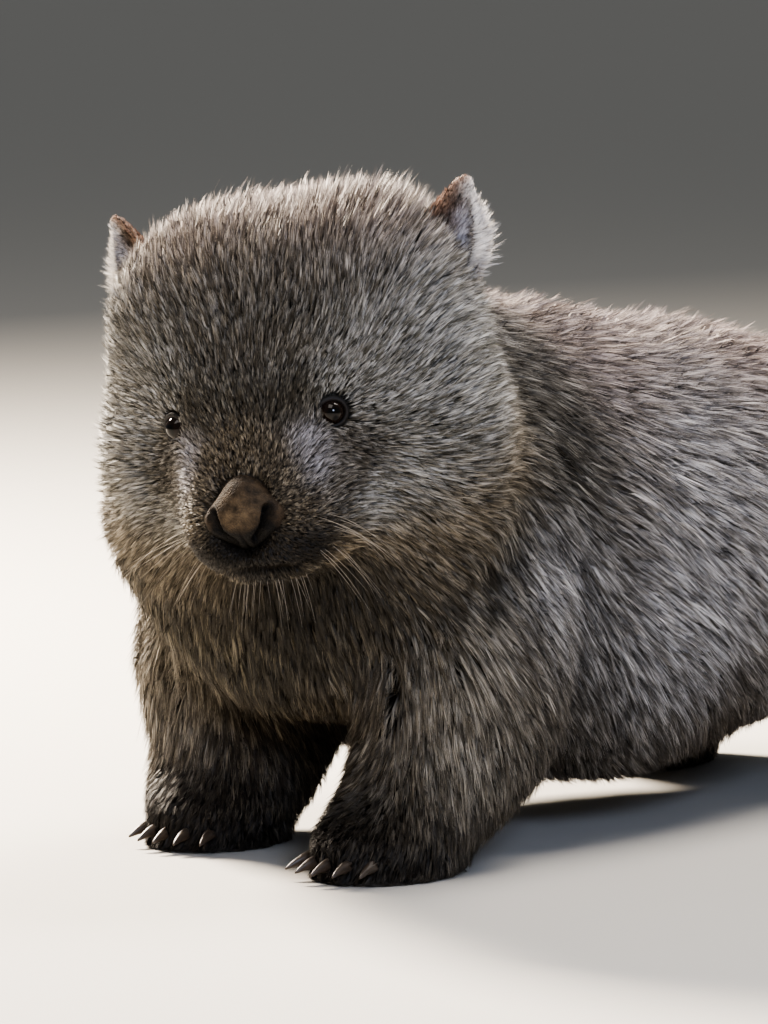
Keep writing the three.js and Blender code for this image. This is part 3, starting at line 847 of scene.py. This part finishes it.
def tufts(name, lines, ups, widths, places, under, tips, finish):
    """Joined tufts: each is a narrow strip along its line that parts into three fine hairs."""
    count = len(lines)
    side = unit(np.cross(np.gradient(lines, axis=1), ups))
    half = 0.5 * widths[:, None, None]
    root, bend, end = lines[:, :1], lines[:, 1:2], lines[:, 2:]
    foot = root + side[:, :1] * half * np.array((-0.6, 0.6))[:, None]
    waist = bend + side[:, 1:2] * half * np.array((-1, -0.34, 0.34, 1))[:, None]
    fan = np.array((-1, 0, 1)) + dice.uniform(-0.4, 0.4, (count, 3))
    reach = dice.uniform(0.72, 1.12, (count, 3))
    points_out = bend + (end - bend) * reach[:, :, None] + side[:, 2:] * half * (1.5 * fan)[:, :, None]
    points_out = points_out + ups[:, 2:] * half * dice.uniform(-1, 1, (count, 3))[:, :, None]
    ring = np.concatenate((foot, waist, points_out), axis=1)
    corners = np.array((0, 1, 5, 2, 2, 3, 6, 3, 4, 7, 4, 5, 8))
    faces = (np.arange(count)[:, None] * 9 + corners).ravel()
    piece = put_mesh(name, ring.reshape(-1, 3), faces, np.tile((4, 3, 3, 3), count))
    beside = np.array((-0.6, 0.6, -1, -0.34, 0.34, 1, -1, 0, 1))
    along = np.array((0, 0, 0.5, 0.5, 0.5, 0.5, 1, 1, 1))
    patch = places[:, None, :] + 0.0015 * np.stack((beside, 2 * along - 1), axis=1)[None, :, :]
    layer = piece.data.uv_layers.new(name="OFBake")
    layer.data.foreach_set("uv", np.clip(patch.reshape(-1, 2)[faces], 0.001, 0.999).ravel())
    low = np.repeat(under[:, None], 9, 1)
    high = np.concatenate((np.repeat(tips.mean(axis=1, keepdims=True), 6, 1), tips), axis=1)
    full = np.ones((count, 9, 1))
    put_attribute(piece.data, "under", "FLOAT_COLOR", np.concatenate((low, full), 2))
    put_attribute(piece.data, "tips", "FLOAT_COLOR", np.concatenate((high, full), 2))
    put_attribute(piece.data, "along", "FLOAT", np.tile(along, count))
    piece.data.materials.append(finish)
    return piece


def scatter(ground, number, density):
    """Seeded roots over a region: place, normal, the skin's values there and their place on the map."""
    chosen = np.flatnonzero(ground.region == number)
    first, second, third = ground.points[ground.corners[chosen]].transpose(1, 0, 2)
    areas = 0.5 * np.linalg.norm(np.cross(second - first, third - first), axis=1)
    wanted = areas / MM ** 2 * density
    counts = np.floor(wanted + dice.random(len(wanted))).astype(int)
    picked = np.repeat(np.arange(len(chosen)), counts)
    a = np.sqrt(dice.random(len(picked)))
    b = dice.random(len(picked))
    share = np.stack((1 - a, a * (1 - b), a * b), axis=1)
    vertices = ground.corners[chosen[picked]]

    def blend(values):
        return (values[vertices] * share[:, :, None]).sum(axis=1)

    places = (ground.places[ground.loops[chosen[picked]]] * share[:, :, None]).sum(axis=1)
    return blend(ground.points), unit(blend(ground.normals)), blend(ground.lies), blend(ground.values), places


# A tuft's line has a root, a bend and an end.
STEPS = 2
# How far hair roots keep from the floor and from the middle of an eye, and hair from the floor.
ROOT_CLEAR = 2.5 * MM
EYE_CLEAR = 8.5 * MM
HAIR_CLEAR = 1.2 * MM
# The oval round the nose pad and the strip along the mouth's line, in mm, where no hair roots.
PAD_HALF_WIDTH = 17.5
PAD_HALF_HEIGHT = 19.5
MOUTH_CLEAR = 1.6
# The share of stray hairs, how much longer they are, and the least height of coat that has them.
STRAY_SHARE = 0.06
STRAY_EXTRA = 0.4
STRAY_HEIGHT = 10 * MM
# The fur is fluffed up in a crest beside the left ear, and lies flatter on the middle of the crown.
CREST = on_head((66, 92, 98))
CROWN = on_head((4, 92, 112))


def lay_coat(name, ground, number, density, width, lock_size):
    """Grows one region's tufts: each bends down along the lie and leans to its lock's own leader."""
    found = scatter(ground, number, density)
    roots = found[0]
    keep = roots[:, 2] > ROOT_CLEAR
    for side in EYES:
        keep &= np.linalg.norm(roots - EYES[side], axis=1) > EYE_CLEAR
    x, y, z = in_head(roots).T
    away = np.hypot(x / PAD_HALF_WIDTH, (z + NOSE_DROP) / PAD_HALF_HEIGHT)
    keep &= away + np.maximum(y + 25, 0) / 10 > 1
    mouth = np.abs(z + MOUTH_DROP + MOUTH_BEND * x ** 2) < MOUTH_CLEAR
    keep &= ~(mouth & (np.abs(x) < MOUTH_HALF) & (y < -10))
    roots, normals, lies, values, places = (part[keep] for part in found)
    count = len(roots)
    leaders = dice.permutation(count)[:max(count // lock_size, 1)]
    leader = leaders[nearest(tree_of(roots[leaders]), roots)]
    lock = dice.standard_normal(count)[leader]
    own = dice.standard_normal(count)
    lies = across(lies + (0.20 * own + 0.14 * lock)[:, None] * np.cross(normals, lies), normals)
    lengths = values[:, 3] * np.clip(1 + 0.20 * own[::-1] + 0.10 * lock, 0.5, 1.4)
    heights = values[:, 4] * np.clip(1.0 + 0.24 * dice.standard_normal(count), 0.35, 1.5)
    stray = STRAY_EXTRA * (dice.random(count) < STRAY_SHARE) * (values[:, 4] > STRAY_HEIGHT)
    lengths = lengths * (1 + stray)
    on_top = np.exp(-(np.linalg.norm(roots - CROWN, axis=1) / (80 * MM)) ** 2)
    heights = heights * (1 + stray * (0.15 + 0.85 * on_top))
    crest = np.exp(-(np.linalg.norm(roots - CREST, axis=1) / (30 * MM)) ** 2)
    crown = np.exp(-(np.linalg.norm(roots - CROWN, axis=1) / (34 * MM)) ** 2)
    heights = heights * (1 + 0.4 * crest - 0.42 * crown)
    lengths = lengths * (1 + 0.25 * crest)
    lines = grow(ground, roots, normals, lies, lengths, heights, STEPS)
    pull = dice.uniform(0.15, 0.65, count)[:, None] * np.linspace(0, 1, STEPS + 1) ** 1.3
    lines = lines + (lines[leader] - lines) * pull[:, :, None]
    lines[:, :, 2] = np.maximum(lines[:, :, 2], HAIR_CLEAR)
    roll = dice.uniform(-0.8, 0.8, count)
    tilt = np.cross(normals, lies)
    ups = normals * np.cos(roll)[:, None] + tilt * np.sin(roll)[:, None]
    ups = ups[:, None, :] * np.ones((1, STEPS + 1, 1))
    # Each of a tuft's three hairs is pale or not by itself, though pale ones keep together in locks.
    chance = dice.random((count, 3)) * 0.65 + dice.random(count)[leader][:, None] * 0.35
    pale = chance < values[:, 5:6]
    shade = np.clip(1 + 0.18 * dice.standard_normal(count) + 0.12 * lock, 0.45, 1.7)
    under = values[:, 6:9] * shade[:, None]
    tips = np.where(pale[:, :, None], values[:, None, 12:15], values[:, None, 9:12]) * shade[:, None, None]
    widths = width * MM * dice.uniform(0.6, 1.2, count)
    return tufts(name, lines, ups, widths, places, under, tips, COAT_FINISH)


for number, (name, (_, density, width, lock_size)) in enumerate(COATS.items()):
    piece = lay_coat(name, body, number, density, width, lock_size)
    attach(piece, "root")
for name, ground in zip(("coat_ear_left", "coat_ear_right"), ear_grounds):
    piece = lay_coat(name, ground, 0, 2.1, 0.8, 3)
    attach(piece, "root")


# The skin's own finish

def undercoat():
    """Dense dull underfur over the skin: it takes the light softly and shows no gloss."""
    material, tree = new_material("dense dull underfur")
    markings = painted(tree, "markings")
    clumps = pattern(tree, "Noise", {"Scale": 420.0, "Detail": 3.0})
    shift = node(tree, "ShaderNodeMapRange", {1: 0.3, 2: 0.7, 3: 0.75, 4: 1.25}, {0: (clumps, 0)})
    tinted = scaled(tree, (markings, 0), (shift, 0))
    bump = bumpy(tree, 0.6, 0.001, clumps)
    settings = {"Roughness": 0.85, "Specular IOR Level": 0.15}
    finish_material(tree, settings, {"Base Color": (tinted, 0), "Normal": (bump, 0)})
    return material


def lid_skin():
    """Bare moist skin of the lids, greyish and finely wrinkled: it shines a little."""
    material, tree = new_material("bare moist lid skin")
    wrinkles = pattern(tree, "Noise", {"Scale": 900.0, "Detail": 3.0})
    edge = painted(tree, "lid_edge")
    away = smooth_ramp(tree, (edge, 2), 0.1, 0.6)
    crest = mixed(tree, (wrinkles, 0), "#0a0807", "#1c1717")
    tone = mixed(tree, (away, 0), (crest, 2), "#0b0908")
    bump = bumpy(tree, 0.5, 0.0004, wrinkles)
    settings = {"Roughness": 0.6, "Specular IOR Level": 0.25}
    finish_material(tree, settings, {"Base Color": (tone, 2), "Normal": (bump, 0)})
    return material


def put_markings(piece, values):
    """The coat's own colours, darker, as the skin under it wears them."""
    tone = 0.7 * values[:, 6:9] + 0.3 * values[:, 9:12]
    put_attribute(piece.data, "markings", "FLOAT_COLOR", np.hstack((tone, np.ones((len(tone), 1)))))


put_markings(skin, body.values)
skin.data.materials.append(undercoat())
skin.data.materials.append(lid_skin())
for piece, ground in zip(ear_pieces, ear_grounds):
    put_markings(piece, ground.values)
    piece.data.materials.append(skin.data.materials[0])
lids = [lid_ring("left"), lid_ring("right")]
for piece in lids:
    piece.data.materials.append(skin.data.materials[1])
select_only(skin, *ear_pieces, *lids)
bpy.ops.object.join()
bpy.ops.object.shade_smooth()
skin.data.uv_layers.active = skin.data.uv_layers.new(name="OFBake")
pick_faces(skin, np.ones(len(skin.data.polygons), bool))
bpy.ops.uv.smart_project(angle_limit=1.15, island_margin=0.003, scale_to_bounds=True)
bpy.ops.object.mode_set(mode="OBJECT")
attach(skin, "root")
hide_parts(*FLESH, *EARS)


# Eyes

def eye_finish():
    """A wet dark eye: black pupil, deep brown iris with faint rays, dull dark rim, under a clear film."""
    material, tree = new_material("wet dark eye")
    angle = painted(tree, "gaze_angle")
    rays = pattern(tree, "Noise", {"Scale": 700.0, "Detail": 3.0})
    iris = mixed(tree, (rays, 0), "#070403", "#1a0f08")
    rim = smooth_ramp(tree, (angle, 2), 50.0, 60.0)
    hole = smooth_ramp(tree, (angle, 2), 22.0, 30.0)
    ring = mixed(tree, (hole, 0), "#040303", (iris, 2))
    ball = mixed(tree, (rim, 0), (ring, 2), "#1d1614")
    settings = {"Roughness": 0.3, "Specular IOR Level": 0.0}
    settings |= {"Coat Weight": 0.85, "Coat Roughness": 0.03, "Coat IOR": 1.36}
    finish_material(tree, settings, {"Base Color": (ball, 2)})
    return material


# How far the cornea bulges, and how many degrees its edge lies from the gaze.
CORNEA_BULGE = 0.9 * MM
CORNEA_EDGE = 52


def eyeball(side):
    """A sphere with its pole along the gaze, bulging at the cornea."""
    gaze, level, rise = eye_frame(side)
    piece = steady_sphere(56, 48)
    ball = points_of(piece)
    angle = np.degrees(np.arccos(np.clip(ball[:, 2], -1, 1)))
    bulge = CORNEA_BULGE * np.clip(1 - (angle / CORNEA_EDGE) ** 2, 0, 1) ** 1.5
    turned = ball[:, :1] * level + ball[:, 1:2] * rise + ball[:, 2:] * gaze
    put_points(piece, EYES[side] + turned * (EYE_RADIUS + bulge)[:, None])
    bpy.ops.object.shade_smooth()
    piece.name = "eyeball_" + side
    put_attribute(piece.data, "gaze_angle", "FLOAT", angle)
    piece.data.materials.append(EYE_FINISH)
    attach(piece, "root")
    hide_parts("eye_" + side)


EYE_FINISH = eye_finish()
for side in EYES:
    eyeball(side)


# Nose

def nose_finish():
    """Naked nose skin, pebbled like fine leather and brown, with painted shade that makes it nearly black
    below, in the nostrils and in the grooves between pebbles, and painted light that makes the rounded middle
    paler.
    """
    material, tree = new_material("naked pebbled nose skin")
    pebbles = pattern(tree, "Voronoi", {"Scale": 850.0})
    blotch = pattern(tree, "Noise", {"Scale": 170.0, "Detail": 5.0})
    dark = painted(tree, "shadow")
    wear_and_painted_light = painted(tree, "wear_and_painted_light")
    uneven = node(tree, "ShaderNodeMapRange", {1: 0.3, 2: 0.7}, {0: (blotch, 0)})
    brown = mixed(tree, (uneven, 0), "#1b150e", "#433526")
    # Painted light: the rounded middle of the pad is mixed towards a paler brown, as if lit.
    patch = node(tree, "ShaderNodeMath", {"operation": "MULTIPLY"}, {0: (wear_and_painted_light, 2), 1: (uneven, 0)})
    painted_lit_middle = mixed(tree, (patch, 0), (brown, 2), "#625340")
    # Painted shade: the brown turns nearly black where the shadow value is high.
    low = mixed(tree, (dark, 2), (painted_lit_middle, 2), "#080605")
    # Painted shade: darker in the grooves between the pebbles, a little lighter on their tops.
    groove_painted_shade = node(tree, "ShaderNodeMapRange", {1: 0.0, 2: 0.6, 3: 1.06, 4: 0.72}, {0: (pebbles, 0)})
    tone = scaled(tree, (low, 2), (groove_painted_shade, 0))
    height = node(tree, "ShaderNodeMath", {"operation": "MULTIPLY", 1: -1.0}, {0: (pebbles, 0)})
    bump = bumpy(tree, 0.75, 0.0006, height)
    settings = {"Roughness": 0.7, "Specular IOR Level": 0.16}
    finish_material(tree, settings, {"Base Color": (tone, 0), "Normal": (bump, 0)})
    return material


def near_line(points, line):
    """The distance in the plane from points to a bent line, in mm."""
    best = np.full(len(points), 1e9)
    for a, b in zip(line[:-1], line[1:]):
        a = np.array(a, float)
        b = np.array(b, float)
        share = np.clip(((points - a) @ (b - a)) / ((b - a) @ (b - a)), 0, 1)
        best = np.minimum(best, np.linalg.norm(points - a - share[:, None] * (b - a), axis=1))
    return best


bpy.ops.object.select_all(action="DESELECT")
bpy.ops.mesh.primitive_ico_sphere_add(subdivisions=7, radius=1)
nose = bpy.context.object
nose.name = "nose"
# Half the pad's width, depth and height in mm, and how far it is tipped, in degrees.
NOSE_HALVES = (20.5, 15, 22.5)
NOSE_TIP = -14
x, y, z = points_of(nose).T
wide = np.interp(z, (-1, -0.55, 0.0, 0.55, 1), (0.70, 1.0, 1.0, 0.80, 0.70))
shape = np.stack((x * wide, y, z), axis=1) * NOSE_HALVES
# The wings swell at the sides behind the nostrils.
for side in (1, -1):
    reach = np.linalg.norm((shape - (side * 18, 0, -4)) / (9, 12, 11), axis=1)
    shape[:, 0] += side * 5.4 * np.exp(-reach ** 2)
    shape[:, 1] -= 1.6 * np.exp(-reach ** 2)
# Below the nostrils the pad runs back into the lip.
shape[:, 1] += 0.030 * np.minimum(shape[:, 2] + 8, 0) ** 2
# One nostril's slit as a bent line, across and up in mm.
NOSTRIL = ((17.5, 2), (17.8, -2), (15.5, -7.5), (10.5, -13), (6.5, -16.5))
flat = np.stack((np.abs(shape[:, 0]), shape[:, 2]), axis=1)
away = near_line(flat, NOSTRIL)
hole = np.clip(1 - np.linalg.norm(flat - (16.5, -3), axis=1) / 8, 0, 1)
slit = np.exp(-(away / (1.5 + 2.2 * hole)) ** 2) * (y < 0.2)
seam = np.exp(-(shape[:, 0] / 1.3) ** 2) * np.clip((-6 - shape[:, 2]) / 10, 0, 1) * (y < 0)
inward = unit(shape)
shape = shape - inward * (6.5 * slit + 1.2 * seam)[:, None]
nose_turn = np.array(Matrix.Rotation(math.radians(NOSE_TIP), 3, "X"))
shape = shape @ nose_turn.T
put_points(nose, NOSE + (shape * MM) @ HEAD_TURN.T)
bpy.ops.object.shade_smooth()
# Painted shade: the pad turns nearly black below the nostrils and inside the nostril slits.
below = np.clip((-1.5 - shape[:, 2]) / 10, 0, 1)
below = below * below * (3 - 2 * below)
put_attribute(nose.data, "shadow", "FLOAT", np.clip(below + 1.3 * np.exp(-(away / 3.4) ** 2), 0, 1))
# Painted light: the rounded middle of the pad is marked to be paler, as if lit there.
wear_and_painted_light = np.exp(-((shape[:, 2] - 3) / 10) ** 2 - (shape[:, 0] / 15) ** 2)
put_attribute(nose.data, "wear_and_painted_light", "FLOAT", wear_and_painted_light)
nose.data.materials.append(nose_finish())
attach(nose, "root")
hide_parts("nose_pad")


# Claws

def horn():
    """Worn keratin, dark and fibrous along its length: a dull sheen with pale scratches."""
    material, tree = new_material("worn claw horn")
    place = node(tree, "ShaderNodeTexCoord")
    stretch = node(tree, "ShaderNodeMapping", {"Scale": (1100.0, 90.0, 500.0)}, {"Vector": (place, 3)})
    fibres = pattern(tree, "Noise", {"Scale": 1.0, "Detail": 3.0}, (stretch, 0))
    tone = mixed(tree, (fibres, 0), "#191410", "#4b3f34")
    bump = bumpy(tree, 0.4, 0.0004, fibres)
    finish_material(tree, {"Roughness": 0.42}, {"Base Color": (tone, 2), "Normal": (bump, 0)})
    return material


CLAWS = sorted(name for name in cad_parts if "claw" in name)
claws = joined_copy(CLAWS, "claws")
round_off = claws.modifiers.new("round off", "SUBSURF")
round_off.levels = 2
round_off.render_levels = 2
bpy.ops.object.modifier_apply(modifier=round_off.name)
bpy.ops.object.shade_smooth()
claws.data.materials.append(horn())
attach(claws, "root")
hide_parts(*CLAWS)


# Whiskers

def whisker_finish():
    """Stiff pale bristle, smooth and faintly glossy."""
    material, tree = new_material("stiff pale bristle")
    spread = pattern(tree, "Noise", {"Scale": 40.0})
    tone = mixed(tree, (spread, 0), "#6a5e4e", "#c2b9aa")
    finish_material(tree, {"Roughness": 0.35}, {"Base Color": (tone, 2)})
    return material


# Rows of whiskers on the head: how many, the two ends of the row, which way they point, and length.
WHISKERS = [
    (9, (33, -44, -50), (42, -26, -60), (1, 0.0, -0.35), 48),
    (8, (30, -44, -64), (42, -24, -72), (0.9, -0.1, -0.75), 38),
    (13, (3, -52, -88), (24, -40, -88), (0.35, -0.45, -1), 23),
    (3, (56, -6, 24), (62, -2, 28), (0.5, -0.4, 0.9), 22),
]
# A whisker's radius at its root.
WHISKER_THICK = 0.14 * MM


def whiskers():
    """Bristles that spring from the skin and droop, each a thin three-sided spike."""
    lines = []
    for number, start, finish, way, length in WHISKERS:
        for side in (1, -1):
            for share in np.linspace(0, 1, number):
                spot = np.array(start) * (1 - share) + np.array(finish) * share + dice.uniform(-2, 2, 3)
                root = on_head(spot * (side, 1, 1))
                near = nearest(body.tree, root[None])[0]
                aim = unit(head_way(np.array(way) * (side, 1, 1)) + dice.uniform(-0.22, 0.22, 3))
                aim = unit(aim + 0.5 * body.normals[near])
                drop = np.array((0, 0, -1)) * dice.uniform(0.1, 0.5)
                reach = length * MM * dice.uniform(0.6, 1.1)
                steps = np.linspace(0, 1, 9)[:, None]
                lines.append(body.points[near] + aim * steps * reach + drop * steps ** 2 * reach)
    lines = np.array(lines)
    count, rows, _ = lines.shape
    ways = unit(np.gradient(lines, axis=1))
    side = unit(np.cross(ways, (0.1, 0.2, 1.0)))
    other = np.cross(ways, side)
    thick = WHISKER_THICK * np.linspace(1, 0.2, rows)[None, :, None]
    rings = []
    for turn_by in np.radians((0, 120, 240)):
        rings.append(lines + thick * (math.cos(turn_by) * side + math.sin(turn_by) * other))
    points = np.stack(rings, axis=2).reshape(-1, 3)
    faces = []
    for hair in range(count):
        first = hair * rows * 3
        for row in range(rows - 1):
            for edge in range(3):
                a = first + row * 3 + edge
                b = first + row * 3 + (edge + 1) % 3
                faces += [a, b, b + 3, a + 3]
    piece = put_mesh("whiskers", points, np.array(faces), np.full(len(faces) // 4, 4))
    piece.data.materials.append(whisker_finish())
    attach(piece, "root")


whiskers()
